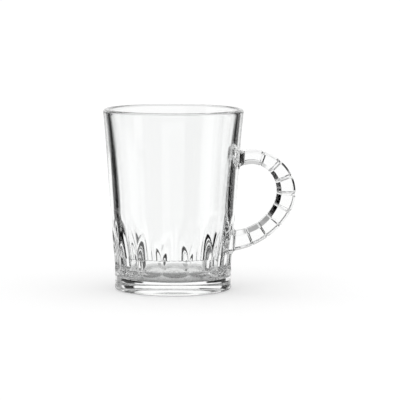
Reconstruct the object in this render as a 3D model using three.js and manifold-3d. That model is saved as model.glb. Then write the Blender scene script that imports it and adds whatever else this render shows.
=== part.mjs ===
// A small clear glass mug: a pressed glass body with fluted lower wall and heavy base,
// and a jointed-looking glass handle pressed by itself and fused onto the wall at two roots.
// Millimetres, +Z up. The origin is on the body's axis, in the plane that the mug stands on.
// The handle points along +X.

import * as THREE from "three";
import { mergeVertices } from "three/addons/utils/BufferGeometryUtils.js";
import Module from "manifold-3d";

// Body, outside
const BODY_HEIGHT = 105;
const FOOT_RADIUS = 33.9;
const FOOT_BAND_HEIGHT = 11;
const FOOT_CORNER_RADIUS = 1.4;
const FLARE_START_HEIGHT = 84;
const FLARE_START_RADIUS = 39;
const MOUTH_OUTER_RADIUS = 40.8;

// Body, inside
const LIP_THICKNESS = 3.4;
const BORE_BEND_HEIGHT = 81;
const BORE_BEND_RADIUS = 33.9;
const BORE_WAIST_HEIGHT = 48;
const BORE_WAIST_RADIUS = 31.8;
const BORE_TOE_HEIGHT = 9.8;
const BORE_TOE_RADIUS = 27;
const BORE_BELLY_RADIUS = 31.7;
const BORE_BELLY_HEIGHT = 37;
const FLOOR_THICKNESS = 7;
const FLOOR_RADIUS = 24.8;

// Flutes round the lower wall
const FLUTE_COUNT = 14;
const FLUTE_HOLLOW_RADIUS = 18;
const FLUTE_TIP_HEIGHT = 38.5;
const FLUTE_FULL_HEIGHT = 20;
const FLUTE_TOE_HEIGHT = 13.6;
const FLUTE_END_HEIGHT = 10.8;

// Handle, side view
const HANDLE_BOW_RADIUS = 20.1;
const HANDLE_BOW_OFFSET = 45.5;
const HANDLE_BOW_HEIGHT = 56.8;
const HANDLE_SWEEP_RADIUS = 36.2;
const HANDLE_START_ANGLE = THREE.MathUtils.degToRad(98);
const HANDLE_TURN_ANGLE = THREE.MathUtils.degToRad(-27);
const HANDLE_END_ANGLE = THREE.MathUtils.degToRad(-92);
const HANDLE_RUN_IN = 9;
const HANDLE_DEPTH = 12;
const HANDLE_CREST_THICKNESS = 8.1;
const HANDLE_TOP_ROOT_THICKNESS = 8.8;
const HANDLE_SIDE_THICKNESS = 10.8;
const HANDLE_LOWER_THICKNESS = 9.8;
const HANDLE_BOTTOM_ROOT_THICKNESS = 11.4;
// Where along the handle each of these thicknesses lies
const THICKNESS_PLACE_SHARES = [0, 0.16, 0.47, 0.75, 1];

// Handle, section and grooves
const HANDLE_OUTER_BEVEL = 1.3;
const HANDLE_INNER_BEVEL = 2.6;
const HANDLE_EDGE_RADIUS = 0.4;
// How far a bevel reaches across the handle, as a share of what it takes off the thickness
const BEVEL_REACH_SHARE = 1.45;
const GROOVE_COUNT = 8;
const GROOVE_FIRST = 18.2;
const GROOVE_PITCH = 8.7;
const GROOVE_WIDTH = 1.6;
const GROOVE_DEPTH = 0.5;
const GROOVE_FACE_DEPTH = 1.1;

// Handle, roots: a fillet in the side view, and sides that spread towards the wall
const ROOT_FILLET = 1.9;
const TOP_ROOT_SPREAD_START = 3;
const LOW_ROOT_SPREAD_START = 1.2;
// How much each side spreads for each millimetre nearer to the wall
const ROOT_SPREAD_SHARE = 1.35;

// The fused joints are left open by this much, so that each piece stays a solid by itself
const JOINT_GAP = 0.3;

// Fineness of the faceted surfaces
const STEPS_PER_FLUTE = 6;
const ARC_STEPS = 4;
const LIP_STEPS = 5;
const BORE_STEPS = 8;
const CUTTER_STEPS = 64;
const EDGE_STEPS = 1;
const RINGS_PER_SEGMENT = 4;
const OVERRUN = 4;
const CUTTER_MARGIN = 1;

const wasm = await Module();
wasm.setup();

// Turns a closed geometry into a solid: only positions are kept, shared corners are merged,
// and triangles that collapsed on the axis are dropped.
function toSolid(geometry) {
  const bare = geometry.clone();
  bare.deleteAttribute("normal");
  bare.deleteAttribute("uv");
  const merged = mergeVertices(bare);
  const index = merged.index.array;
  const triangles = [];
  for (let i = 0; i < index.length; i += 3) {
    const [a, b, c] = [index[i], index[i + 1], index[i + 2]];
    if (a !== b && b !== c && c !== a) triangles.push(a, b, c);
  }
  const mesh = new wasm.Mesh({
    numProp: 3,
    vertProperties: merged.attributes.position.array,
    triVerts: new Uint32Array(triangles),
  });
  return new wasm.Manifold(mesh);
}

// Turns a solid back into a geometry with flat-shaded faces.
function toGeometry(solid) {
  const { numProp, vertProperties, triVerts } = solid.getMesh();
  const corners = new Float32Array(triVerts.length * 3);
  triVerts.forEach((vertex, i) => {
    corners.set(vertProperties.subarray(vertex * numProp, vertex * numProp + 3), i * 3);
  });
  const geometry = new THREE.BufferGeometry();
  geometry.setAttribute("position", new THREE.BufferAttribute(corners, 3));
  geometry.computeVertexNormals();
  return geometry;
}

// Revolves a profile of (radius, height) points about the Z axis.
function revolve(points, steps) {
  return new THREE.LatheGeometry(points, steps).rotateX(Math.PI / 2);
}

// Radius of the outside cone at a height, between the foot band and the flare.
const coneSlope =
  (FLARE_START_RADIUS - FOOT_RADIUS) / (FLARE_START_HEIGHT - FOOT_BAND_HEIGHT);
const coneTilt = Math.atan(coneSlope);
const coneRadiusAt = (height) =>
  FOOT_RADIUS + Math.max(height - FOOT_BAND_HEIGHT, 0) * coneSlope;

// The outside profile from the axis under the base up to the lip, grown outwards by a clearance.
function outsidePath(clearance) {
  const corner = FOOT_CORNER_RADIUS + clearance;
  const cornerX = FOOT_RADIUS - FOOT_CORNER_RADIUS;
  const flareControlHeight = (FLARE_START_HEIGHT + BODY_HEIGHT) / 2;
  const lipHeight = BODY_HEIGHT - LIP_THICKNESS / 2;
  const path = new THREE.Path();
  path.moveTo(0, -clearance);
  path.lineTo(cornerX, -clearance);
  path.absarc(cornerX, FOOT_CORNER_RADIUS, corner, -Math.PI / 2, 0, false);
  path.lineTo(FOOT_RADIUS + clearance, FOOT_BAND_HEIGHT);
  path.lineTo(FLARE_START_RADIUS + clearance, FLARE_START_HEIGHT);
  path.quadraticCurveTo(
    coneRadiusAt(flareControlHeight) + clearance,
    flareControlHeight,
    MOUTH_OUTER_RADIUS + clearance,
    lipHeight,
  );
  return path;
}

// One flute cutter: a spindle whose side scoops the hollow. Its radius grows from the flute's
// pointed tip to the full hollow, stays there, and runs out in a short curve above the foot.
function fluteCutter(clearance) {
  const hollow = FLUTE_HOLLOW_RADIUS;
  const halfWidth = FOOT_RADIUS * Math.sin(Math.PI / FLUTE_COUNT);
  const wallSagitta = FOOT_RADIUS - Math.sqrt(FOOT_RADIUS ** 2 - halfWidth ** 2);
  const hollowSagitta = hollow - Math.sqrt(hollow ** 2 - halfWidth ** 2);
  const depth = wallSagitta + hollowSagitta;
  const radius = hollow - clearance;
  const rise = (FLUTE_TIP_HEIGHT - FLUTE_FULL_HEIGHT) / depth;
  const tipRadius = hollow - depth - OVERRUN / rise;
  const profile = new THREE.Path();
  profile.moveTo(0, FLUTE_END_HEIGHT - CUTTER_MARGIN);
  profile.lineTo(
    hollow - depth - CUTTER_MARGIN - clearance,
    FLUTE_END_HEIGHT - CUTTER_MARGIN,
  );
  profile.quadraticCurveTo(radius, FLUTE_END_HEIGHT, radius, FLUTE_TOE_HEIGHT);
  profile.lineTo(radius, FLUTE_FULL_HEIGHT);
  profile.lineTo(tipRadius - clearance, FLUTE_TIP_HEIGHT + OVERRUN);
  profile.lineTo(0, FLUTE_TIP_HEIGHT + OVERRUN);
  const wallRadius = coneRadiusAt(FLUTE_FULL_HEIGHT);
  const geometry = revolve(profile.getPoints(ARC_STEPS), CUTTER_STEPS);
  geometry.translate(0, 0, -FLUTE_FULL_HEIGHT);
  geometry.rotateY(coneTilt);
  geometry.translate(wallRadius + hollow - depth, 0, FLUTE_FULL_HEIGHT);
  return geometry;
}

// Takes the ring of flutes out of a solid. A ridge, not a hollow, faces the handle.
function cutFlutes(solid, clearance) {
  let cut = solid;
  for (let i = 0; i < FLUTE_COUNT; i += 1) {
    const turn = ((i + 0.5) / FLUTE_COUNT) * 2 * Math.PI;
    cut = cut.subtract(toSolid(fluteCutter(clearance).rotateZ(turn)));
  }
  return cut;
}

// The body: outside, rounded lip, tapering bore, curved toe and flat floor in one revolve.
function makeBody() {
  const lipRadius = LIP_THICKNESS / 2;
  const lipX = MOUTH_OUTER_RADIUS - lipRadius;
  const lipZ = BODY_HEIGHT - lipRadius;
  const outside = outsidePath(0).getPoints(ARC_STEPS);
  const lip = new THREE.Path().absarc(lipX, lipZ, lipRadius, 0, Math.PI, false);
  const bore = new THREE.Path();
  bore.moveTo(lipX - lipRadius, lipZ);
  bore.quadraticCurveTo(
    BORE_BEND_RADIUS,
    BORE_BEND_HEIGHT,
    BORE_WAIST_RADIUS,
    BORE_WAIST_HEIGHT,
  );
  bore.quadraticCurveTo(
    BORE_BELLY_RADIUS,
    BORE_BELLY_HEIGHT,
    BORE_TOE_RADIUS,
    BORE_TOE_HEIGHT,
  );
  const toeLean = (BORE_BELLY_RADIUS - BORE_TOE_RADIUS) / (BORE_BELLY_HEIGHT - BORE_TOE_HEIGHT);
  const toeControlX = BORE_TOE_RADIUS - (BORE_TOE_HEIGHT - FLOOR_THICKNESS) * toeLean;
  const toe = new THREE.Path();
  toe.moveTo(BORE_TOE_RADIUS, BORE_TOE_HEIGHT);
  toe.quadraticCurveTo(toeControlX, FLOOR_THICKNESS, FLOOR_RADIUS, FLOOR_THICKNESS);
  toe.lineTo(0, FLOOR_THICKNESS);
  const profile = [
    ...outside,
    ...lip.getPoints(LIP_STEPS).slice(1),
    ...bore.getPoints(BORE_STEPS).slice(1),
    ...toe.getPoints(ARC_STEPS).slice(1),
  ];
  const blank = toSolid(revolve(profile, FLUTE_COUNT * STEPS_PER_FLUTE));
  return cutFlutes(blank, 0);
}

// The space that the body takes up, grown by the joint gap, which shapes the handle's roots.
function bodyEnvelope() {
  const path = outsidePath(JOINT_GAP);
  path.lineTo(MOUTH_OUTER_RADIUS + JOINT_GAP, BODY_HEIGHT + OVERRUN);
  path.lineTo(0, BODY_HEIGHT + OVERRUN);
  const blank = toSolid(revolve(path.getPoints(ARC_STEPS), FLUTE_COUNT * STEPS_PER_FLUTE));
  return cutFlutes(blank, JOINT_GAP);
}

// The handle's centre line in the plane of X and Z: a short run out of the wall, a tight bow,
// and a wide sweep that meets the bow in a common tangent and runs back into the wall.
function handleLine() {
  const bow = new THREE.Vector2(HANDLE_BOW_OFFSET, HANDLE_BOW_HEIGHT);
  const inward = HANDLE_BOW_RADIUS - HANDLE_SWEEP_RADIUS;
  const sweepX = bow.x + inward * Math.cos(HANDLE_TURN_ANGLE);
  const sweepZ = bow.y + inward * Math.sin(HANDLE_TURN_ANGLE);
  const startX = bow.x + HANDLE_BOW_RADIUS * Math.cos(HANDLE_START_ANGLE);
  const startZ = bow.y + HANDLE_BOW_RADIUS * Math.sin(HANDLE_START_ANGLE);
  const line = new THREE.Path();
  line.moveTo(
    startX - HANDLE_RUN_IN * Math.sin(HANDLE_START_ANGLE),
    startZ + HANDLE_RUN_IN * Math.cos(HANDLE_START_ANGLE),
  );
  line.lineTo(startX, startZ);
  line.absarc(bow.x, bow.y, HANDLE_BOW_RADIUS, HANDLE_START_ANGLE, HANDLE_TURN_ANGLE, true);
  line.absarc(sweepX, sweepZ, HANDLE_SWEEP_RADIUS, HANDLE_TURN_ANGLE, HANDLE_END_ANGLE, true);
  return line;
}

// The handle's section: a rectangle with all four edges bevelled, the two inner ones wider, as
// offsets from the centre line. The first coordinate points out of the bow, the second across
// it. Each of the eight corners is rounded by an arc about a point inside both its sides.
function handleSection(thickness, depth, inset, faceInset) {
  const halfThick = thickness / 2 - inset;
  const halfDeep = depth / 2 - faceInset;
  const soft = HANDLE_EDGE_RADIUS;
  const lean = Math.atan(1 / BEVEL_REACH_SHARE);
  const quarter = Math.PI / 2;
  const alongPull = soft * Math.tan(lean / 2);
  const acrossPull = soft * Math.tan((quarter - lean) / 2);
  const outerU = halfThick - HANDLE_OUTER_BEVEL - alongPull;
  const innerU = HANDLE_INNER_BEVEL + alongPull - halfThick;
  const outerV = halfDeep - HANDLE_OUTER_BEVEL * BEVEL_REACH_SHARE - acrossPull;
  const innerV = halfDeep - HANDLE_INNER_BEVEL * BEVEL_REACH_SHARE - acrossPull;
  const corners = [
    [halfThick - soft, outerV, 0, lean],
    [outerU, halfDeep - soft, lean, quarter],
    [innerU, halfDeep - soft, quarter, 2 * quarter - lean],
    [soft - halfThick, innerV, 2 * quarter - lean, 2 * quarter],
    [soft - halfThick, -innerV, 2 * quarter, 2 * quarter + lean],
    [innerU, soft - halfDeep, 2 * quarter + lean, 3 * quarter],
    [outerU, soft - halfDeep, 3 * quarter, 4 * quarter - lean],
    [halfThick - soft, -outerV, 4 * quarter - lean, 4 * quarter],
  ];
  return corners.flatMap(([u, v, start, end]) =>
    new THREE.Path().absarc(u, v, soft, start, end, false).getPoints(EDGE_STEPS),
  );
}

// How far the handle's skin swells at a distance from the wall, as a round fillet does.
function rootSwell(distance) {
  const reach = THREE.MathUtils.clamp(ROOT_FILLET - distance, 0, ROOT_FILLET);
  return ROOT_FILLET - Math.sqrt(ROOT_FILLET ** 2 - reach ** 2);
}

// How far each side of the handle spreads at a distance from the wall, from a given start on.
function rootSpread(distance, start) {
  return THREE.MathUtils.clamp(start - distance, 0, start) * ROOT_SPREAD_SHARE;
}

// Places along the handle, in lengths from its start: each groove's bottom and shoulders, and
// even steps over the segments between them.
function handleStations(length) {
  const half = GROOVE_WIDTH / 2;
  const stations = [];
  let from = 0;
  for (let i = 0; i <= GROOVE_COUNT; i += 1) {
    const isLast = i === GROOVE_COUNT;
    const middle = GROOVE_FIRST + i * GROOVE_PITCH;
    const to = isLast ? length : middle - half;
    const isEnd = i === 0 || isLast;
    const rings = isEnd ? Math.ceil((to - from) / ROOT_FILLET) * 2 : RINGS_PER_SEGMENT;
    for (let k = 0; k <= rings; k += 1) {
      stations.push({ at: from + ((to - from) * k) / rings, inset: 0, faceInset: 0 });
    }
    if (!isLast) stations.push({ at: middle, inset: GROOVE_DEPTH, faceInset: GROOVE_FACE_DEPTH });
    from = middle + half;
  }
  return stations;
}

// The handle: one section after another along the centre line, joined into a closed skin.
function loftHandle() {
  const line = handleLine();
  const length = line.getLength();
  const thicknesses = new THREE.SplineCurve(
    [
      HANDLE_TOP_ROOT_THICKNESS,
      HANDLE_CREST_THICKNESS,
      HANDLE_SIDE_THICKNESS,
      HANDLE_LOWER_THICKNESS,
      HANDLE_BOTTOM_ROOT_THICKNESS,
    ].map((thickness, i) => new THREE.Vector2(THICKNESS_PLACE_SHARES[i], thickness)),
  );
  const positions = [];
  const stations = handleStations(length);
  stations.forEach(({ at, inset, faceInset }) => {
    const share = at / length;
    const centre = line.getPoint(share);
    const tangent = line.getTangent(share);
    const out = new THREE.Vector2(-tangent.y, tangent.x);
    const thickness = thicknessAt(thicknesses, share);
    const spreadStart = at < length / 2 ? TOP_ROOT_SPREAD_START : LOW_ROOT_SPREAD_START;
    handleSection(thickness, HANDLE_DEPTH, inset, faceInset).forEach((offset) => {
      const x = centre.x + out.x * offset.x;
      const z = centre.y + out.y * offset.x;
      const fromWall = Math.hypot(x, offset.y) - coneRadiusAt(z);
      const swell = rootSwell(fromWall) / offset.length();
      positions.push(
        x + out.x * offset.x * swell,
        offset.y * (1 + rootSpread(fromWall, spreadStart) / (HANDLE_DEPTH / 2)),
        z + out.y * offset.x * swell,
      );
    });
  });
  return closedLoft(positions, stations.length);
}

// Reads the thickness off its smooth curve at a share of the handle's length.
function thicknessAt(curve, share) {
  const places = THICKNESS_PLACE_SHARES;
  const last = places.length - 1;
  const at = Math.min(
    places.findLastIndex((place) => place <= share),
    last - 1,
  );
  const within = (share - places[at]) / (places[at + 1] - places[at]);
  return curve.getPoint((at + within) / last).y;
}

// Joins equal rings of points into a skin, with a fan over the first ring and the last.
function closedLoft(positions, ringCount) {
  const perRing = positions.length / 3 / ringCount;
  const index = [];
  for (let ring = 0; ring < ringCount - 1; ring += 1) {
    for (let i = 0; i < perRing; i += 1) {
      const next = (i + 1) % perRing;
      const a = ring * perRing + i;
      const b = ring * perRing + next;
      const c = a + perRing;
      const d = b + perRing;
      index.push(a, c, b, b, c, d);
    }
  }
  const lastRing = (ringCount - 1) * perRing;
  for (let i = 1; i < perRing - 1; i += 1) {
    index.push(0, i, i + 1);
    index.push(lastRing, lastRing + i + 1, lastRing + i);
  }
  const geometry = new THREE.BufferGeometry();
  geometry.setAttribute("position", new THREE.Float32BufferAttribute(positions, 3));
  geometry.setIndex(index);
  return geometry;
}

// The handle's roots take the shape of the wall that they are fused to, ridge and flutes included.
function makeHandle() {
  return toSolid(loftHandle()).subtract(bodyEnvelope());
}

const bodyGlass = new THREE.MeshStandardMaterial({
  color: 0xf4f6f5,
  roughness: 0.03,
  metalness: 0,
  transparent: true,
  opacity: 0.35,
});
const handleGlass = bodyGlass.clone();
handleGlass.roughness = 0.05;

const body = new THREE.Mesh(toGeometry(makeBody()), bodyGlass);
body.name = "mug_body";

const handle = new THREE.Mesh(toGeometry(makeHandle()), handleGlass);
handle.name = "handle";

const mug = new THREE.Group();
mug.add(body, handle);

export default mug;
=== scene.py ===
"""A small clear glass mug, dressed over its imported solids: fluted body and grooved handle.

Lengths are in metres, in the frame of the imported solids. The mug stands on the plane of X and Y
with its axis on Z, its handle points to +X, and the camera looks at it along +Y.
"""

from __future__ import annotations

import logging
import math
from dataclasses import dataclass
from enum import Enum
from typing import Any, Sequence

import bmesh
import bpy
import numpy as np
from mathutils import Matrix, Vector


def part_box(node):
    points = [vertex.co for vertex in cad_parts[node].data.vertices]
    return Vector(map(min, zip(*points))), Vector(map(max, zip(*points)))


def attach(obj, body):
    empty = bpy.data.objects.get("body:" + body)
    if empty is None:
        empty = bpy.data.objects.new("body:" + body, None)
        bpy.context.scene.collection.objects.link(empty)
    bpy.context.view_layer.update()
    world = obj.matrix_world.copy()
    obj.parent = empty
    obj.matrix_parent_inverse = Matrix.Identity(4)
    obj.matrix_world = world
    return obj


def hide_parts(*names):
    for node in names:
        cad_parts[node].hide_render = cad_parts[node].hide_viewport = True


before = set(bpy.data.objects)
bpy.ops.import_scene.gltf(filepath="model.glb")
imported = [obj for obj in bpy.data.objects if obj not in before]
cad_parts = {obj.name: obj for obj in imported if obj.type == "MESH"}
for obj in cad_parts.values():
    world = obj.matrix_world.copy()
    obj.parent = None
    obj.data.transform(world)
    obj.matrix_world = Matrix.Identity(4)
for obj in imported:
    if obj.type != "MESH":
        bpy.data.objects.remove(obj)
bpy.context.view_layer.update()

LOG = logging.getLogger("glass_mug")
ROOT_BODY = "root"
Array = np.ndarray
Colour = tuple[float, float, float, float]
WHITE: Colour = (1.0, 1.0, 1.0, 1.0)
HALF_TURN = 180.0


class Cut(Enum):
    """How two closed skins are combined."""

    JOIN = "UNION"
    OVERLAP = "INTERSECT"


class Ray(Enum):
    """Kinds of ray that the table and the sky tell apart."""

    CAMERA = "Is Camera Ray"
    GLOSSY = "Is Glossy Ray"
    TRANSMITTED = "Is Transmission Ray"


class Wire:
    """A shader socket whose arithmetic adds Math nodes to its tree."""

    def __init__(self, bench: Bench, socket: Any) -> None:
        """Keeps the bench that draws nodes and the socket that this wire starts from."""
        self.bench = bench
        self.socket = socket

    def _math(self, operation: str, *values: Any) -> Wire:
        """Adds one Math node of the given operation on the values."""
        return self.bench.node("ShaderNodeMath", {"operation": operation}, dict(enumerate(values)))

    def __add__(self, other: Any) -> Wire:
        """Sum."""
        return self._math("ADD", self, other)

    def __radd__(self, other: Any) -> Wire:
        """Sum, number first."""
        return self._math("ADD", other, self)

    def __sub__(self, other: Any) -> Wire:
        """Difference."""
        return self._math("SUBTRACT", self, other)

    def __rsub__(self, other: Any) -> Wire:
        """Difference, number first."""
        return self._math("SUBTRACT", other, self)

    def __mul__(self, other: Any) -> Wire:
        """Product."""
        return self._math("MULTIPLY", self, other)

    def __rmul__(self, other: Any) -> Wire:
        """Product, number first."""
        return self._math("MULTIPLY", other, self)

    def __abs__(self) -> Wire:
        """Size without sign."""
        return self._math("ABSOLUTE", self)

    def smallest(self, other: Any) -> Wire:
        """The smaller of two values."""
        return self._math("MINIMUM", self, other)

    def arcsine(self) -> Wire:
        """Angle whose sine is this value."""
        return self._math("ARCSINE", self)

    def angle_with(self, other: Any) -> Wire:
        """Angle of the direction whose rise is this value and whose run is the other."""
        return self._math("ARCTAN2", self, other)

    def wrap(self, low: float, high: float) -> Wire:
        """This value brought into a range by whole lengths of the range."""
        return self._math("WRAP", self, high, low)

    def ramp(self, low: float, high: float, start: float = 0.0, end: float = 1.0) -> Wire:
        """Smooth step from start to end as this value goes from low to high.

        Args:
            low: value at which the step begins.
            high: value at which the step ends.
            start: result below the step.
            end: result above the step.

        Returns:
            The eased value.
        """
        return self.bench.node(
            "ShaderNodeMapRange",
            {"interpolation_type": "SMOOTHSTEP"},
            {"Value": self, "From Min": low, "From Max": high, "To Min": start, "To Max": end},
        )


class Bench:
    """A node tree being drawn, in which every node comes from the method named node."""

    def __init__(self, tree: bpy.types.NodeTree) -> None:
        """Clears the tree that the nodes go into."""
        self.tree = tree
        tree.nodes.clear()

    def node(
        self,
        kind: str,
        settings: dict[str, Any] | None = None,
        sockets: dict[Any, Any] | None = None,
        output: int | str = 0,
    ) -> Wire:
        """Adds a node, sets its settings first and then its sockets.

        Args:
            kind: the node's type name.
            settings: attributes of the node, such as a Math node's operation.
            sockets: values or wires, by the input's name or number.
            output: the output that the returned wire starts from.

        Returns:
            A wire from the chosen output.
        """
        made = self.tree.nodes.new(kind)
        for name, value in (settings or {}).items():
            setattr(made, name, value)
        for key, value in (sockets or {}).items():
            entry = made.inputs[key]
            if isinstance(value, Wire):
                self.tree.links.new(value.socket, entry)
            else:
                entry.default_value = value
        has_output = len(made.outputs) > 0
        return Wire(self, made.outputs[output] if has_output else None)

    def is_ray(self, ray: Ray) -> Wire:
        """A wire that is 1 for rays of one kind and 0 for all others."""
        return self.node("ShaderNodeLightPath", output=ray.value)


def blank_material(name: str) -> tuple[bpy.types.Material, Bench]:
    """Makes a material with an empty node tree.

    Args:
        name: the material's name.

    Returns:
        The material, and the bench that draws into its tree.
    """
    material = bpy.data.materials.new(name)
    material.use_nodes = True
    return material, Bench(material.node_tree)


def smooth_min(first: Array, second: Array, blend: float) -> Array:
    """The smaller of two surfaces, with the crease between them rounded over.

    Where the two differ by less than the blend, h runs from 0 to 1 across the crease and the
    result is their mix by h, lowered by blend times h times one minus h.

    Args:
        first: values of the first surface.
        second: values of the second surface.
        blend: difference in value over which the crease is rounded.

    Returns:
        The blended values.
    """
    h = np.clip(0.5 + 0.5 * (second - first) / blend, 0.0, 1.0)
    return second * (1 - h) + first * h - blend * h * (1 - h)


def pulled_curve(points: Sequence[tuple[float, float]], steps: int) -> Array:
    """Points on a curve between two ends that a middle point pulls towards itself.

    At share t the curve is (1-t) squared times the first point, 2t(1-t) times the second and
    t squared times the third.

    Args:
        points: the first end, the middle point and the last end.
        steps: number of stretches.

    Returns:
        An array of steps + 1 points.
    """
    t = np.linspace(0.0, 1.0, steps + 1)[:, None]
    first, second, third = (np.array(point) for point in points)
    return (1 - t) ** 2 * first + 2 * t * (1 - t) * second + t**2 * third


def arc(centre: tuple[float, float], radius: float, start: float, end: float, steps: int) -> Array:
    """Points on a circular arc between two angles in radians.

    Args:
        centre: the circle's middle.
        radius: its radius.
        start: angle of the first point.
        end: angle of the last point.
        steps: number of stretches.

    Returns:
        An array of steps + 1 points, each the centre plus the radius times (cosine, sine).
    """
    angles = np.linspace(start, end, steps + 1)
    ring = np.column_stack((np.cos(angles), np.sin(angles)))
    return np.array(centre) + radius * ring


def straight(start: tuple[float, float], end: tuple[float, float], steps: int) -> Array:
    """Evenly spaced points on a straight line, both ends included."""
    share = np.linspace(0.0, 1.0, steps + 1)[:, None]
    return np.array(start) * (1 - share) + np.array(end) * share


def chain(*stretches: Array) -> Array:
    """Joins stretches of a profile end to end, leaving out each repeated first point."""
    return np.vstack([stretches[0], *(stretch[1:] for stretch in stretches[1:])])


def smooth_through(places: Array, values: Array, at: Array) -> Array:
    """A smooth curve through values at given places, read at many positions.

    Between two places the curve is the cubic that matches both values and, at each, half the
    rise from the value before it to the value after it.

    Args:
        places: rising positions of the values.
        values: one value per place.
        at: positions to read.

    Returns:
        The value at each position.
    """
    last = len(places) - 1
    which = np.clip(np.searchsorted(places, at, side="right") - 1, 0, last - 1)
    t = (at - places[which]) / (places[which + 1] - places[which])
    before = values[np.maximum(which - 1, 0)]
    here = values[which]
    there = values[which + 1]
    beyond = values[np.minimum(which + 2, last)]
    slope_here = (there - before) / 2
    slope_there = (beyond - here) / 2
    return (
        (2 * t**3 - 3 * t**2 + 1) * here
        + (t**3 - 2 * t**2 + t) * slope_here
        + (3 * t**2 - 2 * t**3) * there
        + (t**3 - t**2) * slope_there
    )


def skin_object(name: str, points: Array, faces: list[Array]) -> bpy.types.Object:
    """Makes a smooth-shaded mesh object at the origin.

    Args:
        name: the object's name.
        points: vertex positions in metres.
        faces: arrays of faces, each with a fixed number of corners.

    Returns:
        The linked object.
    """
    mesh = bpy.data.meshes.new(name)
    loops = np.concatenate([group.reshape(-1) for group in faces])
    sizes = np.concatenate([np.full(len(group), group.shape[1]) for group in faces])
    starts = np.concatenate(([0], np.cumsum(sizes)[:-1]))
    mesh.vertices.add(len(points))
    mesh.vertices.foreach_set("co", points.astype(np.float32).reshape(-1))
    mesh.loops.add(len(loops))
    mesh.loops.foreach_set("vertex_index", loops.astype(np.int32))
    mesh.polygons.add(len(sizes))
    mesh.polygons.foreach_set("loop_start", starts.astype(np.int32))
    mesh.polygons.foreach_set("use_smooth", np.ones(len(sizes), dtype=bool))
    mesh.update(calc_edges=True)
    mesh.validate()
    made = bpy.data.objects.new(name, mesh)
    bpy.context.scene.collection.objects.link(made)
    return made


def ring_quads(rows: int, columns: int) -> Array:
    """Quads of a grid whose columns close on themselves.

    Args:
        rows: number of rings.
        columns: number of points in a ring.

    Returns:
        Four vertex numbers for each quad.
    """
    row = np.arange(rows - 1)[:, None] * columns
    column = np.arange(columns)[None, :]
    after = (column + 1) % columns
    a = row + column
    b = row + after
    return np.stack((a, b, b + columns, a + columns), axis=-1).reshape(-1, 4)


def pole_fan(pole: int, first: int, columns: int, against: bool) -> Array:
    """Triangles between a pole and a ring.

    Args:
        pole: vertex number of the pole.
        first: vertex number at which the ring starts.
        columns: number of points in the ring.
        against: whether the triangles run against the ring's order.

    Returns:
        Three vertex numbers for each triangle.
    """
    column = np.arange(columns)
    here = first + column
    after = first + (column + 1) % columns
    middle = np.full(columns, pole)
    corners = (middle, after, here) if against else (middle, here, after)
    return np.stack(corners, axis=-1)


def closed_skin(
    name: str, grid: Array, poles: Array, in_order: bool, material: bpy.types.Material
) -> bpy.types.Object:
    """Makes a closed skin from rings of points and a pole at each end.

    Args:
        name: the object's name.
        grid: points of shape rings by points by three.
        poles: the point inside the first ring and the one inside the last.
        in_order: whether faces that follow the grid's order point outwards.
        material: the skin's glass.

    Returns:
        The linked object, whose faces point outwards.
    """
    rows, columns = grid.shape[:2]
    last = (rows - 1) * columns
    quads = ring_quads(rows, columns)
    start = pole_fan(last + columns, 0, columns, in_order)
    finish = pole_fan(last + columns + 1, last, columns, not in_order)
    faces = [quads if in_order else quads[:, ::-1], start, finish]
    made = skin_object(name, np.vstack((grid.reshape(-1, 3), poles)), faces)
    made.data.materials.append(material)
    return made


@dataclass(frozen=True)
class GlassFinish:
    """Clear colourless pressed glass, with the faint unevenness that a mould leaves.

    Polish and haze are the roughness of the clear and of the hazy patches, and the haze sets in
    between its start and its full value of a cloudy pattern.
    """

    name: str
    tint: Colour = (0.985, 0.99, 0.988, 1.0)
    refraction: float = 1.518
    polish: float = 0.0
    haze: float = 0.004
    haze_start: float = 0.52
    haze_full: float = 0.75
    haze_scale: float = 60.0
    haze_detail: float = 2.0
    haze_grain: float = 0.5
    ripple_scale: float = 260.0
    ripple_detail: float = 1.0
    ripple_grain: float = 0.4
    ripple_depth: float = 0.000006

    def noise(self, bench: Bench, scale: float, detail: float, grain: float) -> Wire:
        """Draws a cloudy pattern that is fixed to the piece.

        Args:
            bench: the material's bench.
            scale: number of clouds in a metre.
            detail: number of finer layers.
            grain: strength of each finer layer against the one before.

        Returns:
            The pattern's value.
        """
        place = bench.node("ShaderNodeTexCoord", output="Object")
        sockets = {"Vector": place, "Scale": scale, "Detail": detail, "Roughness": grain}
        return bench.node("ShaderNodeTexNoise", {"noise_dimensions": "3D"}, sockets)

    def make(self) -> bpy.types.Material:
        """Builds the material: a clear glass shader with ripples and patches of lower polish.

        Returns:
            The finished material.
        """
        material, bench = blank_material(self.name)
        ripple = self.noise(bench, self.ripple_scale, self.ripple_detail, self.ripple_grain)
        cloud = self.noise(bench, self.haze_scale, self.haze_detail, self.haze_grain)
        ripples = {"Height": ripple, "Strength": 1.0, "Distance": self.ripple_depth}
        uneven = bench.node("ShaderNodeBump", {}, ripples)
        shader = bench.node(
            "ShaderNodeBsdfPrincipled",
            {},
            {
                "Base Color": self.tint,
                "Metallic": 0.0,
                "Roughness": cloud.ramp(self.haze_start, self.haze_full, self.polish, self.haze),
                "IOR": self.refraction,
                "Transmission Weight": 1.0,
                "Normal": uneven,
            },
        )
        bench.node("ShaderNodeOutputMaterial", {}, {"Surface": shader})
        return material


@dataclass(frozen=True)
class FusedJointFinish:
    """The melted joint inside the glass, which light crosses without bending."""

    name: str

    def make(self) -> bpy.types.Material:
        """Builds the material.

        Returns:
            A material that lets every ray through unchanged.
        """
        material, bench = blank_material(self.name)
        clear = bench.node("ShaderNodeBsdfTransparent", {}, {"Color": WHITE})
        bench.node("ShaderNodeOutputMaterial", {}, {"Surface": clear})
        return material


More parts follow.
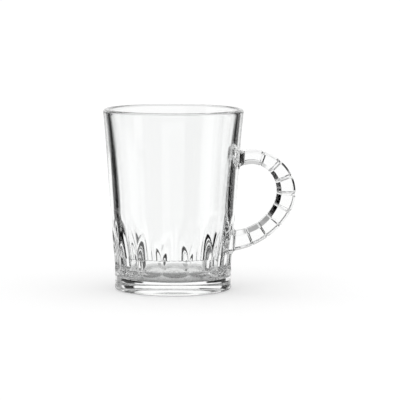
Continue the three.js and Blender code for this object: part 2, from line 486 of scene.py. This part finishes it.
@dataclass(frozen=True)
class TableFinish:
    """The pale table, which takes the mug's shadow and lets the glass show the studio.

    Rays that have passed through the glass or are mirrored in it meet the table only under the
    mug. It opens to them between the near and the far distance from the mug's axis, and beyond
    that they pass it and show the studio.
    """

    name: str
    paint: Colour = (0.66, 0.66, 0.66, 1.0)
    lift: float = 0.38
    glow_under: float = 0.12
    near: float = 0.036
    far: float = 0.046

    def make(self) -> bpy.types.Material:
        """Builds the material.

        Returns:
            A matt white, lifted by a glow that only the camera and rays through the glass see,
            and mixed with a clear surface where it opens.
        """
        material, bench = blank_material(self.name)
        camera = bench.is_ray(Ray.CAMERA)
        glossy = bench.is_ray(Ray.GLOSSY)
        through = bench.is_ray(Ray.TRANSMITTED)
        place = bench.node("ShaderNodeTexCoord", output="Object")
        reach = bench.node("ShaderNodeVectorMath", {"operation": "LENGTH"}, {0: place}, "Value")
        matt = bench.node("ShaderNodeBsdfDiffuse", {}, {"Color": self.paint})
        strength = camera * self.lift + through * self.glow_under
        glow = bench.node("ShaderNodeEmission", {}, {"Color": WHITE, "Strength": strength})
        lit = bench.node("ShaderNodeAddShader", {}, {0: matt, 1: glow})
        clear = bench.node("ShaderNodeBsdfTransparent", {}, {"Color": WHITE})
        open_part = (through + glossy).smallest(1.0) * reach.ramp(self.near, self.far)
        surface = bench.node("ShaderNodeMixShader", {}, {0: open_part, 1: lit, 2: clear})
        bench.node("ShaderNodeOutputMaterial", {}, {"Surface": surface})
        return material


@dataclass(frozen=True)
class Screen:
    """A lit or dim screen of the studio with blurred edges, in degrees seen from the mug.

    Its middle's turn counts from +X, so 90 is behind the mug and -90 is the camera's side. Low
    and high are heights over the horizon, and a level of 1 is white.
    """

    turn: float
    half_width: float
    low: float
    high: float
    level: float
    soft: float = 3.0

    def over(self, level: Wire | float, turn: Wire, height: Wire) -> Wire:
        """Lays this screen over what is seen so far.

        The cover is the product of a smooth step at each edge, and it mixes the brightness seen
        so far with the screen's own. A screen that goes all round has no side edges.

        Args:
            level: brightness seen so far in each direction.
            turn: direction's turn round the mug, in degrees.
            height: direction's height over the horizon, in degrees.

        Returns:
            The brightness with the screen in place.
        """
        edge = self.soft / 2
        cover = height.ramp(self.low - edge, self.low + edge)
        cover = cover * height.ramp(self.high - edge, self.high + edge, 1.0, 0.0)
        if self.half_width < HALF_TURN:
            off = abs((turn - self.turn).wrap(-HALF_TURN, HALF_TURN))
            cover = cover * off.ramp(self.half_width - edge, self.half_width + edge, 1.0, 0.0)
        return level + (self.level - level) * cover


@dataclass(frozen=True)
class StudioSky:
    """A bright-field studio: a white backdrop behind the mug and dark flags beside it.

    Rays that have passed through the glass see the screens, each laid over those before it.
    Rays that the glass mirrors see a dim room with a bright back. All others, such as those
    that light the table, see an even white.
    """

    room_level: float = 1.05
    mirror_side: float = 0.1
    mirror_back: float = 1.0
    back_start: float = 0.7
    back_full: float = 0.95
    screens: tuple[Screen, ...] = (
        # The ceiling, then the room on the camera's side and its dark upper part.
        Screen(turn=0.0, half_width=HALF_TURN, low=26.0, high=120.0, level=0.7),
        Screen(turn=-90.0, half_width=62.0, low=-30.0, high=32.0, level=0.8),
        Screen(turn=-90.0, half_width=75.0, low=32.0, high=75.0, level=0.1),
        # Dim panels high behind the mug, and black ones at its right and left.
        Screen(turn=35.0, half_width=25.0, low=26.0, high=60.0, level=0.25),
        Screen(turn=137.0, half_width=25.0, low=26.0, high=60.0, level=0.25),
        Screen(turn=14.0, half_width=20.0, low=5.0, high=60.0, level=0.0),
        Screen(turn=168.0, half_width=14.0, low=5.0, high=60.0, level=0.0),
        # The two brightest parts of the backdrop.
        Screen(turn=104.0, half_width=7.0, low=-15.0, high=10.0, level=1.12, soft=9.0),
        Screen(turn=75.0, half_width=7.0, low=-15.0, high=10.0, level=1.12, soft=9.0),
        # The flag right of the backdrop, with its narrow top and its dim borders.
        Screen(turn=27.0, half_width=10.0, low=-12.0, high=24.0, level=0.35),
        Screen(turn=50.5, half_width=15.5, low=-27.0, high=-2.0, level=0.0),
        Screen(turn=50.0, half_width=7.5, low=-2.0, high=20.0, level=0.0),
        Screen(turn=50.5, half_width=15.5, low=-34.0, high=-27.0, level=0.35),
        Screen(turn=66.0, half_width=8.0, low=-50.0, high=-18.0, level=0.45),
        # The flag left of the backdrop, with its outer part and its low inner part.
        Screen(turn=128.5, half_width=15.5, low=-19.0, high=-2.0, level=0.0),
        Screen(turn=150.0, half_width=17.0, low=-4.0, high=24.0, level=0.0),
        Screen(turn=113.5, half_width=7.5, low=-34.0, high=-11.0, level=0.05),
        # A flag on the camera's side, left of it, and a low one at the mug's left.
        Screen(turn=-132.0, half_width=18.0, low=-24.0, high=24.0, level=0.01),
        Screen(turn=177.0, half_width=15.0, low=-36.0, high=-18.0, level=0.01),
        # The dimmer foot of the backdrop, and low flags at the mug's right and in front.
        Screen(turn=90.0, half_width=15.0, low=-36.0, high=-20.0, level=0.75),
        Screen(turn=-3.0, half_width=12.0, low=-22.0, high=-8.0, level=0.01),
        Screen(turn=-87.0, half_width=12.0, low=-22.0, high=-8.0, level=0.3),
        # The ground.
        Screen(turn=0.0, half_width=HALF_TURN, low=-120.0, high=-52.0, level=0.85),
    )

    def make(self, world: bpy.types.World) -> None:
        """Draws the sky's nodes into a world.

        A direction's turn is the angle of its run (x, y), and its height is the arcsine of z.

        Args:
            world: the scene's world.
        """
        world.use_nodes = True
        bench = Bench(world.node_tree)
        direction = bench.node("ShaderNodeTexCoord", output="Generated")
        x, y, z = (
            bench.node("ShaderNodeSeparateXYZ", {}, {"Vector": direction}, axis) for axis in "XYZ"
        )
        turn = y.angle_with(x) * math.degrees(1.0)
        height = z.arcsine() * math.degrees(1.0)
        seen: Wire | float = self.room_level
        for screen in self.screens:
            seen = screen.over(seen, turn, height)
        glossy = bench.is_ray(Ray.GLOSSY)
        through = bench.is_ray(Ray.TRANSMITTED)
        plain = 1 - (through + glossy).smallest(1.0)
        mirrored = y.ramp(self.back_start, self.back_full, self.mirror_side, self.mirror_back)
        strength = seen * through + glossy * (1 - through) * mirrored + plain
        glow = bench.node("ShaderNodeBackground", {}, {"Color": WHITE, "Strength": strength})
        bench.node("ShaderNodeOutputWorld", {}, {"Surface": glow})


@dataclass(frozen=True)
class PressedBody:
    """The tumbler: one closed skin from under the base, over the lip and down to the floor.

    The outside is a foot band, a straight taper that goes through the flare's radius at its
    height, and from there a flare up to the mouth. The bore runs through the waist and the toe
    to the floor, on curves that the bend and the belly pull. The flutes are full up to one
    height, run out in a point at their tip, and end below their toe in a short curve. Steps say
    how finely each stretch of the profile is cut.
    """

    height: float
    mouth_radius: float
    foot_radius: float = 0.0339
    foot_band: float = 0.011
    foot_corner: float = 0.0014
    flare_height: float = 0.084
    flare_radius: float = 0.039
    lip_thickness: float = 0.0034
    bend_height: float = 0.081
    bend_radius: float = 0.0339
    waist_height: float = 0.048
    waist_radius: float = 0.0318
    belly_height: float = 0.037
    belly_radius: float = 0.0317
    toe_height: float = 0.0098
    toe_radius: float = 0.027
    floor_thickness: float = 0.007
    floor_radius: float = 0.0248
    hollow_radius: float = 0.0262
    hollow_depth: float = 0.0025
    flute_count: int = 14
    flute_hollow: float = 0.018
    flute_tip: float = 0.0385
    flute_full: float = 0.02
    flute_toe: float = 0.0136
    flute_end: float = 0.0108
    shrink_limit: float = 1.6
    ridge_round: float = 0.0009
    columns_per_flute: int = 20
    crowding: float = 0.55
    hollow_steps: int = 16
    ring_steps: int = 5
    corner_steps: int = 8
    wall_steps: tuple[int, ...] = (8, 22, 70, 14, 20, 16)
    lip_steps: int = 18
    bore_steps: int = 40
    taper_steps: int = 30
    toe_steps: int = 14
    floor_steps: int = 9

    @property
    def pitch(self) -> float:
        """Angle from one flute's middle to the next one's."""
        return 2 * math.pi / self.flute_count

    @property
    def slope(self) -> float:
        """How much the outside radius grows for each metre of height."""
        return (self.flare_radius - self.foot_radius) / (self.flare_height - self.foot_band)

    @property
    def lip_height(self) -> float:
        """Height at which the wall goes over into the round lip."""
        return self.height - self.lip_thickness / 2

    def cone(self, z: Array) -> Array:
        """Radius of the straight taper: the foot's radius plus the slope times the height."""
        return self.foot_radius + np.maximum(z - self.foot_band, 0.0) * self.slope

    def wall(self, z: Array) -> Array:
        """Outside radius without flutes: the taper plus a flare that grows as the square.

        Args:
            z: heights.

        Returns:
            The radius at each height.
        """
        flare = self.mouth_radius - self.cone(np.array(self.lip_height))
        share = (z - self.flare_height) / (self.lip_height - self.flare_height)
        return self.cone(z) + flare * np.clip(share, 0.0, 1.0) ** 2

    def outside(self, z: Array, turn: Array) -> Array:
        """Outside radius with the flutes.

        Across a flute the surface is a circle of the hollow's radius whose centre stands
        outside the wall, so its distance from the axis is c cos(a) minus the root of s squared
        minus c squared sin squared of a, where c is the centre's distance, s the hollow's
        radius and a the angle off the flute's middle. The full depth is what the wall and the
        hollow bulge over half a pitch, so that neighbouring flutes meet in a ridge at the foot.
        The hollow's radius shrinks towards the tip and below the toe, which gives the pointed
        top and the short run-out. Where flutes meet each other or the wall, the crease is
        rounded.

        Args:
            z: heights.
            turn: angles round the axis, of the same shape.

        Returns:
            The radius at each point.
        """
        half = self.foot_radius * math.sin(self.pitch / 2)
        wall_bulge = self.foot_radius - math.sqrt(self.foot_radius**2 - half**2)
        hollow_bulge = self.flute_hollow - math.sqrt(self.flute_hollow**2 - half**2)
        depth = wall_bulge + hollow_bulge
        rise = np.maximum((z - self.flute_full) / (self.flute_tip - self.flute_full), 0.0)
        fall = np.maximum((self.flute_toe - z) / (self.flute_toe - self.flute_end), 0.0)
        hollow = self.flute_hollow - depth * np.minimum(rise + fall**2, self.shrink_limit)
        centre = self.cone(z) + self.flute_hollow - depth
        off = np.abs(np.mod(turn, self.pitch) - self.pitch / 2)
        plain = self.wall(z)
        nearest = self.flute_surface(centre, hollow, off, plain)
        next_one = self.flute_surface(centre, hollow, self.pitch - off, plain)
        fluted = smooth_min(nearest, next_one, self.ridge_round)
        return smooth_min(plain, fluted, self.ridge_round)

    def flute_surface(self, centre: Array, hollow: Array, off: Array, plain: Array) -> Array:
        """Distance from the axis to a hollow's near side.

        Args:
            centre: distance of the hollow's centre from the axis.
            hollow: the hollow's radius.
            off: angle off the hollow's middle.
            plain: the wall's radius without flutes.

        Returns:
            The distance where the hollow is met, and past its sides a value so far outside the
            wall that it rounds nothing.
        """
        inside = hollow**2 - (centre * np.sin(off)) ** 2
        near = centre * np.cos(off) - np.sqrt(np.maximum(inside, 0.0))
        return np.where(inside > 0, near, plain + 2 * self.ridge_round)

    def turns(self) -> Array:
        """Angles of the columns: even steps, crowded towards each ridge by a sine.

        Returns:
            One angle for each column.
        """
        even = np.arange(self.columns_per_flute) / self.columns_per_flute
        crowded = even - self.crowding * np.sin(2 * math.pi * even) / (2 * math.pi)
        first = np.arange(self.flute_count)[:, None] * self.pitch
        return (first + crowded[None, :] * self.pitch).reshape(-1)

    def outer_rows(self) -> Array:
        """Profile of the outside, from near the base's middle up to the lip.

        Returns:
            A radius and a height for each row.
        """
        corner_x = self.foot_radius - self.foot_corner
        ring = straight((self.hollow_radius, 0.0), (corner_x, 0.0), self.ring_steps)
        corner = (corner_x, self.foot_corner)
        bend = arc(corner, self.foot_corner, -math.pi / 2, 0.0, self.corner_steps)
        heights = (
            self.foot_corner,
            self.flute_end - self.foot_corner,
            self.flute_toe,
            self.flute_tip + self.foot_corner,
            self.flute_tip + self.flute_tip - self.flute_full,
            self.flare_height,
            self.lip_height,
        )
        stretches = zip(heights, heights[1:], self.wall_steps)
        walls = [self.rise(low, high, steps) for low, high, steps in stretches]
        return chain(self.underside(), ring, bend, *walls)

    def underside(self) -> Array:
        """Points from near the middle of the base out to the ring that it stands on.

        The height is the hollow's depth times one minus the square of the share of its radius.

        Returns:
            A radius and a height for each row.
        """
        first = self.hollow_radius / self.hollow_steps
        radius = np.linspace(first, self.hollow_radius, self.hollow_steps)
        share = radius / self.hollow_radius
        return np.column_stack((radius, self.hollow_depth * (1 - share**2)))

    def rise(self, low: float, high: float, steps: int) -> Array:
        """Points up the plain wall between two heights."""
        z = np.linspace(low, high, steps + 1)
        return np.column_stack((self.wall(z), z))

    def inner_rows(self) -> Array:
        """Profile over the lip, down the bore, round the toe and in over the floor.

        Returns:
            A radius and a height for each row.
        """
        lip = self.lip_thickness / 2
        lip_x = self.mouth_radius - lip
        waist = (self.waist_radius, self.waist_height)
        bend = (self.bend_radius, self.bend_height)
        toe = (self.toe_radius, self.toe_height)
        belly = (self.belly_radius, self.belly_height)
        floor_edge = (self.floor_radius, self.floor_thickness)
        floor_end = (self.floor_radius / (self.floor_steps + 1), self.floor_thickness)
        lean = (self.belly_radius - self.toe_radius) / (self.belly_height - self.toe_height)
        knee = (self.toe_radius - (self.toe_height - self.floor_thickness) * lean, self.floor_thickness)
        return chain(
            arc((lip_x, self.lip_height), lip, 0.0, math.pi, self.lip_steps),
            pulled_curve(((lip_x - lip, self.lip_height), bend, waist), self.bore_steps),
            pulled_curve((waist, belly, toe), self.taper_steps),
            pulled_curve((toe, knee, floor_edge), self.toe_steps),
            straight(floor_edge, floor_end, self.floor_steps),
        )

    def make(self, material: bpy.types.Material) -> bpy.types.Object:
        """Builds the skin: the profile turned round the axis, with the flutes in its wall.

        Args:
            material: the body's glass.

        Returns:
            The closed mesh object.
        """
        outer = self.outer_rows()
        rows = chain(outer, self.inner_rows())
        turns = self.turns()
        radius = np.repeat(rows[:, :1], len(turns), axis=1)
        z = np.repeat(rows[:, 1:], len(turns), axis=1)
        turn = np.repeat(turns[None, :], len(rows), axis=0)
        is_wall = (np.arange(len(rows)) < len(outer)) & (rows[:, 1] > self.foot_corner)
        is_wall &= rows[:, 0] > self.hollow_radius
        radius[is_wall] = self.outside(z[is_wall], turn[is_wall])
        grid = np.stack((radius * np.cos(turn), radius * np.sin(turn), z), axis=-1)
        poles = np.array([(0.0, 0.0, self.hollow_depth), (0.0, 0.0, self.floor_thickness)])
        return closed_skin("body_skin", grid, poles, True, material)


@dataclass(frozen=True)
class GroovedHandle:
    """The handle: flat-faced segments along a bow and a sweep, with a fillet at each root.

    The centre line runs straight in inside the wall's glass, follows the bow from the start
    angle to the turn angle and the sweep on to the end angle. Thickness is measured out of the
    bow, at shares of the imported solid's line, which has a longer run-in, and depth across it.
    A bevel's rise is how many times as wide it is across the handle as out of the bow. A groove
    reaches to each side of its middle and bites deeper into the front and back faces. At the
    roots a fillet swells the outline, and a flare, one for the top and one for the low root,
    widens it.
    """

    body: PressedBody
    bow_radius: float = 0.0201
    bow_offset: float = 0.0455
    bow_height: float = 0.0568
    sweep_radius: float = 0.0362
    start_angle: float = math.radians(98)
    turn_angle: float = math.radians(-27)
    end_angle: float = math.radians(-90)
    run_in: float = 0.0062
    packed_run_in: float = 0.009
    thickness: tuple[float, ...] = (0.0088, 0.0081, 0.0108, 0.0098, 0.0114)
    thickness_shares: tuple[float, ...] = (0.0, 0.16, 0.47, 0.75, 1.0)
    depth: float = 0.012
    outer_bevel: float = 0.0013
    inner_bevel: float = 0.0026
    bevel_rise: float = 1.45
    edge_round: float = 0.0004
    groove_count: int = 8
    groove_first: float = 0.0182
    groove_pitch: float = 0.0087
    groove_reach: float = 0.0008
    groove_depth: float = 0.0005
    groove_bite: float = 2.2
    groove_curve: float = 1.1
    root_fillet: float = 0.0019
    top_flare: float = 0.003
    low_flare: float = 0.0012
    flare_rise: float = 1.35
    fine_step: float = 0.00012
    plain_step: float = 0.0005
    fine_share: float = 1.3
    root_share: float = 4.0
    root_stride: int = 2
    corner_steps: int = 4
    flat_steps: tuple[int, ...] = (4, 10, 6, 10, 6, 10, 4, 14)

    def lengths(self) -> tuple[float, float, float]:
        """Lengths of the parts of the line, where an arc's is its radius times its angle.

        Returns:
            The straight run, the bow and the sweep.
        """
        bow = self.bow_radius * (self.start_angle - self.turn_angle)
        sweep = self.sweep_radius * (self.turn_angle - self.end_angle)
        return self.run_in, bow, sweep

    @property
    def total(self) -> float:
        """Length of the whole line."""
        return sum(self.lengths())

    @property
    def skipped(self) -> float:
        """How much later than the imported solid's line this one starts."""
        return self.packed_run_in - self.run_in

    def line(self, at: Array) -> tuple[Array, Array]:
        """The centre line and its outward direction at lengths from its start.

        The line is straight into the bow, a circle of the bow's radius, and then a circle of
        the sweep's radius whose centre lies on the line through the bow's centre and the
        point where they meet, so that they share a tangent.

        Args:
            at: lengths along the line.

        Returns:
            Points and unit vectors out of the bow, in the plane of X and Z.
        """
        run, bow, _ = self.lengths()
        in_bow = np.clip(at - run, 0.0, bow)
        in_sweep = np.maximum(at - run - bow, 0.0)
        angle = self.start_angle - in_bow / self.bow_radius - in_sweep / self.sweep_radius
        out = np.column_stack((np.cos(angle), np.sin(angle)))
        bow_centre = np.array((self.bow_offset, self.bow_height))
        turn = np.array((math.cos(self.turn_angle), math.sin(self.turn_angle)))
        sweep_centre = bow_centre + (self.bow_radius - self.sweep_radius) * turn
        on_sweep = (at > run + bow)[:, None]
        circle = np.where(
            on_sweep, sweep_centre + self.sweep_radius * out, bow_centre + self.bow_radius * out
        )
        before = np.minimum(at - run, 0.0)[:, None]
        along = np.array((math.sin(self.start_angle), -math.cos(self.start_angle)))
        return circle + before * along, out

    def grooves(self) -> Array:
        """Places of the grooves along the line."""
        first = self.groove_first - self.skipped
        return first + np.arange(self.groove_count) * self.groove_pitch

    def to_groove(self, at: Array) -> Array:
        """Distance along the line to the nearest groove's middle."""
        return np.abs(at[:, None] - self.grooves()[None, :]).min(axis=1)

    def stations(self) -> Array:
        """Places of the rings: fine steps at the grooves and the roots, wider ones between.

        Returns:
            Rising lengths from the line's start to its end.
        """
        grid = np.arange(0.0, self.total, self.fine_step)
        number = np.arange(len(grid))
        at_groove = self.to_groove(grid) < self.groove_reach * self.fine_share
        at_root = np.minimum(grid, self.total - grid) < self.root_fillet * self.root_share
        kept = at_groove | (at_root & (number % self.root_stride == 0))
        kept |= number % round(self.plain_step / self.fine_step) == 0
        return np.append(grid[kept], self.total)

    def section(self, thickness: Array, inset: Array) -> Array:
        """Rounded outlines, one for each ring, with all four long edges bevelled.

        Every corner is an arc about a point that lies its radius inside both neighbouring
        sides, and each side between corners is cut into even steps. The four corners at the
        front mirror those at the back.

        Args:
            thickness: size out of the bow, per ring.
            inset: how far the outline is drawn in, per ring; its front and back faces go in
                further, by the share named groove bite.

        Returns:
            Offsets (out of the bow, across it) of shape rings by points by two.
        """
        thick = thickness / 2 - inset
        deep = self.depth / 2 - inset * self.groove_bite
        soft = self.edge_round
        lean = math.atan(1 / self.bevel_rise)
        flat_pull = soft * math.tan(lean / 2)
        side_pull = soft * math.tan((math.pi / 2 - lean) / 2)
        outer_u = thick - self.outer_bevel - flat_pull
        inner_u = self.inner_bevel + flat_pull - thick
        outer_v = deep - self.outer_bevel * self.bevel_rise - side_pull
        inner_v = deep - self.inner_bevel * self.bevel_rise - side_pull
        top = deep - soft
        quarter = math.pi / 2
        corners = [
            (thick - soft, outer_v, 0.0, lean),
            (outer_u, top, lean, quarter),
            (inner_u, top, quarter, 2 * quarter - lean),
            (soft - thick, inner_v, 2 * quarter - lean, 2 * quarter),
        ]
        corners += [
            (u, -v, 4 * quarter - end, 4 * quarter - start)
            for u, v, start, end in reversed(corners)
        ]
        shares = np.linspace(0.0, 1.0, self.corner_steps + 1)
        bends = []
        for u, v, start, end in corners:
            angle = start * (1 - shares) + end * shares
            across = u[:, None] + soft * np.cos(angle)[None, :]
            along = v[:, None] + soft * np.sin(angle)[None, :]
            bends.append(np.stack((across, along), axis=-1))
        pieces = []
        for number, bend in enumerate(bends):
            after = bends[(number + 1) % len(bends)]
            steps = self.flat_steps[number]
            share = (np.arange(1, steps) / steps)[None, :, None]
            flat = bend[:, -1:] * (1 - share) + after[:, :1] * share
            pieces.extend((bend, flat))
        return np.concatenate(pieces, axis=1)

    def outlines(self, at: Array) -> Array:
        """Outlines of the rings, drawn in at each groove.

        The inset is the groove's depth times a power, near one, of one minus the distance from
        the groove's middle as a share of its reach.

        Args:
            at: places of the rings.

        Returns:
            Offsets (out of the bow, across it) of shape rings by points by two.
        """
        share = (at + self.skipped) / (self.total + self.skipped)
        thickness = smooth_through(np.array(self.thickness_shares), np.array(self.thickness), share)
        apart = self.to_groove(at) / self.groove_reach
        inset = self.groove_depth * np.maximum(1 - apart, 0.0) ** self.groove_curve
        return self.section(thickness, inset)

    def grid(self) -> Array:
        """Points of the rings, grown where they come near the wall.

        A point is the centre line plus its offsets. Near the wall the offset out of the bow
        grows by its share of the swell, which is the fillet's radius less the root of the
        radius squared minus the reach squared, where the reach is how much nearer than the
        radius the point is to the wall. The offset across the bow grows by its share of the
        half depth, times the flare's rise, times how much nearer than the flare it is.

        Returns:
            Points of shape rings by points by three.
        """
        at = self.stations()
        offset = self.outlines(at)
        centre, out = self.line(at)
        x = centre[:, None, 0] + out[:, None, 0] * offset[..., 0]
        z = centre[:, None, 1] + out[:, None, 1] * offset[..., 0]
        y = offset[..., 1]
        gap = np.hypot(x, y) - self.body.cone(z)
        reach = np.clip(self.root_fillet - gap, 0.0, self.root_fillet)
        swell = self.root_fillet - np.sqrt(self.root_fillet**2 - reach**2)
        grow = swell / np.linalg.norm(offset, axis=-1)
        x = x + out[:, None, 0] * offset[..., 0] * grow
        z = z + out[:, None, 1] * offset[..., 0] * grow
        is_top = at < self.total / 2
        flare = np.where(is_top, self.top_flare, self.low_flare)[:, None]
        widen = np.clip(flare - gap, 0.0, flare) * self.flare_rise
        y = y + widen * y / (self.depth / 2)
        return np.stack((x, y, z), axis=-1)

    def make(self, material: bpy.types.Material) -> bpy.types.Object:
        """Builds the skin, whose ends stand inside the wall's glass.

        Args:
            material: the handle's glass.

        Returns:
            The closed mesh object.
        """
        grid = self.grid()
        ends = np.stack((grid[0].mean(axis=0), grid[-1].mean(axis=0)))
        return closed_skin("handle_skin", grid, ends, False, material)


@dataclass
class FusedMug:
    """Body and handle, parted exactly where the handle's roots meet the wall."""

    body: PressedBody
    handle: GroovedHandle
    body_glass: GlassFinish = GlassFinish("body_clear")
    handle_glass: GlassFinish = GlassFinish("handle_clear")
    joint: FusedJointFinish = FusedJointFinish("fused_joint")
    weld: float = 0.000002
    sharp_angle: float = math.radians(50)

    def combine(self, first: bpy.types.Object, second: bpy.types.Object, cut: Cut) -> bpy.types.Mesh:
        """Combines two closed skins and returns the result as a mesh of its own.

        Args:
            first: the body's skin.
            second: the handle's skin.
            cut: how they are combined.

        Returns:
            The new mesh, whose faces keep the material of the skin that they come from.
        """
        modifier = first.modifiers.new(cut.name, "BOOLEAN")
        modifier.operation = cut.value
        modifier.object = second
        modifier.solver = "MANIFOLD"
        modifier.material_mode = "TRANSFER"
        graph = bpy.context.evaluated_depsgraph_get()
        mesh = bpy.data.meshes.new_from_object(first.evaluated_get(graph))
        first.modifiers.remove(modifier)
        return mesh

    def piece(
        self,
        name: str,
        skins: tuple[bpy.types.Mesh, bpy.types.Mesh],
        keep: str,
        flip_patch: bool,
    ) -> bpy.types.Object:
        """Makes one piece of glass from its own skin and the patch where the two are fused.

        The patch is the part of the body's skin that lies inside the handle.

        Args:
            name: the piece's name.
            skins: the joined skin, and the overlap that holds the patch.
            keep: the material name of the faces that belong to this piece.
            flip_patch: whether the patch faces the other way on this piece.

        Returns:
            The closed, smooth-shaded object.
        """
        joined, overlap = skins
        made = bmesh.new()
        self.add_faces(made, joined, keep, 0, False)
        self.add_faces(made, overlap, self.body_glass.name, 1, flip_patch)
        bmesh.ops.remove_doubles(made, verts=made.verts, dist=self.weld)
        bmesh.ops.dissolve_degenerate(made, edges=made.edges, dist=self.weld)
        mesh = bpy.data.meshes.new(name)
        made.to_mesh(mesh)
        open_edges = sum(1 for edge in made.edges if not edge.is_manifold)
        made.free()
        LOG.info("%s: %d faces, %d open edges", name, len(mesh.polygons), open_edges)
        glass = bpy.data.objects.new(name, mesh)
        bpy.context.scene.collection.objects.link(glass)
        return glass

    def add_faces(
        self, made: bmesh.types.BMesh, source: bpy.types.Mesh, keep: str, slot: int, flip: bool
    ) -> None:
        """Copies the faces of one material from a mesh into the piece being made.

        Args:
            made: the piece being made.
            source: the mesh that holds the faces.
            keep: the name of their material.
            slot: number of the material that they get on the piece.
            flip: whether they are turned round.
        """
        part = bmesh.new()
        part.from_mesh(source)
        number = [material.name for material in source.materials].index(keep)
        others = [face for face in part.faces if face.material_index != number]
        bmesh.ops.delete(part, geom=others, context="FACES")
        if flip:
            bmesh.ops.reverse_faces(part, faces=part.faces)
        copy = bpy.data.meshes.new("part")
        part.to_mesh(copy)
        part.free()
        count = len(copy.polygons)
        copy.polygons.foreach_set("material_index", np.full(count, slot, dtype=np.int32))
        copy.polygons.foreach_set("use_smooth", np.ones(count, dtype=bool))
        made.from_mesh(copy)
        bpy.data.meshes.remove(copy)

    def build(self) -> list[bpy.types.Object]:
        """Builds both pieces, dresses them and ties them to the frame.

        Returns:
            The body and the handle.
        """
        body_glass = self.body_glass.make()
        handle_glass = self.handle_glass.make()
        joint = self.joint.make()
        body_skin = self.body.make(body_glass)
        handle_skin = self.handle.make(handle_glass)
        joined = self.combine(body_skin, handle_skin, Cut.JOIN)
        overlap = self.combine(body_skin, handle_skin, Cut.OVERLAP)
        skins = (joined, overlap)
        body = self.piece("glass_body", skins, self.body_glass.name, False)
        handle = self.piece("glass_handle", skins, self.handle_glass.name, True)
        for skin in (body_skin, handle_skin):
            bpy.data.objects.remove(skin)
        for made, glass in ((body, body_glass), (handle, handle_glass)):
            made.data.materials.append(glass)
            made.data.materials.append(joint)
            made.data.set_sharp_from_angle(angle=self.sharp_angle)
            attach(made, ROOT_BODY)
        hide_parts("mug_body")
        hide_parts("handle")
        return [body, handle]


@dataclass(frozen=True)
class Studio:
    """The floor, the sky and the camera at the photograph's angle.

    Glass, mirror and clear turns are how often a ray may be bent, mirrored or let through.
    """

    distance: float = 1.51
    eye_height: float = 0.2126
    turn: float = math.radians(2.2)
    look_right: float = 0.0156
    look_height: float = 0.0518
    roll: float = math.radians(0.2)
    field_of_view: float = math.radians(8.76)
    nearest_seen: float = 0.05
    floor_half: float = 12.0
    floor_drop: float = 0.0002
    floor_lines: int = 9
    glass_turns: int = 32
    mirror_turns: int = 24
    clear_turns: int = 24
    sky: StudioSky = StudioSky()
    table: TableFinish = TableFinish("table_white")

    def place_camera(self) -> bpy.types.Object:
        """Aims the camera: a little left of the handle's square view, and from above.

        Returns:
            The scene's camera.
        """
        data = bpy.data.cameras.new("camera")
        data.sensor_fit = "HORIZONTAL"
        data.angle = self.field_of_view
        data.clip_start = self.nearest_seen
        camera = bpy.data.objects.new("camera", data)
        bpy.context.scene.collection.objects.link(camera)
        right = Vector((math.cos(self.turn), -math.sin(self.turn), 0.0))
        away = Vector((-math.sin(self.turn), -math.cos(self.turn), 0.0))
        eye = away * self.distance + Vector((0.0, 0.0, self.eye_height))
        target = right * self.look_right + Vector((0.0, 0.0, self.look_height))
        aim = (target - eye).to_track_quat("-Z", "Y").to_matrix().to_4x4()
        camera.matrix_world = Matrix.Translation(eye) @ aim @ Matrix.Rotation(self.roll, 4, "Z")
        bpy.context.scene.camera = camera
        return camera

    def lay_floor(self) -> bpy.types.Object:
        """Lays the pale floor just under the mug, as a flat square grid.

        Returns:
            The staged floor.
        """
        lines = self.floor_lines
        side = np.linspace(-self.floor_half, self.floor_half, lines)
        x, y = np.meshgrid(side, side)
        points = np.stack((x, y, np.full_like(x, -self.floor_drop)), axis=-1).reshape(-1, 3)
        first = np.arange(lines - 1)[:, None] * lines + np.arange(lines - 1)[None, :]
        corners = (first, first + 1, first + 1 + lines, first + lines)
        floor = skin_object("floor", points, [np.stack(corners, axis=-1).reshape(-1, 4)])
        floor.data.materials.append(self.table.make())
        return floor

    def light(self) -> None:
        """Hangs the sky and lets light take as many turns inside the glass as it needs."""
        scene = bpy.context.scene
        if scene.world is None:
            scene.world = bpy.data.worlds.new("studio")
        self.sky.make(scene.world)
        scene.view_settings.view_transform = "Standard"
        scene.cycles.max_bounces = self.glass_turns
        scene.cycles.glossy_bounces = self.mirror_turns
        scene.cycles.transmission_bounces = self.glass_turns
        scene.cycles.transparent_max_bounces = self.clear_turns


def main() -> None:
    """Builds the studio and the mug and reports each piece."""
    logging.basicConfig(level=logging.INFO, format="%(name)s %(message)s")
    studio = Studio()
    studio.place_camera()
    studio.lay_floor()
    studio.light()
    low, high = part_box("mug_body")
    body = PressedBody(height=high.z - low.z, mouth_radius=(high.x - low.x) / 2)
    mug = FusedMug(body=body, handle=GroovedHandle(body=body))
    for piece in mug.build():
        LOG.info("dressed %s, %d faces", piece.name, len(piece.data.polygons))


if __name__ == "__main__":
    main()
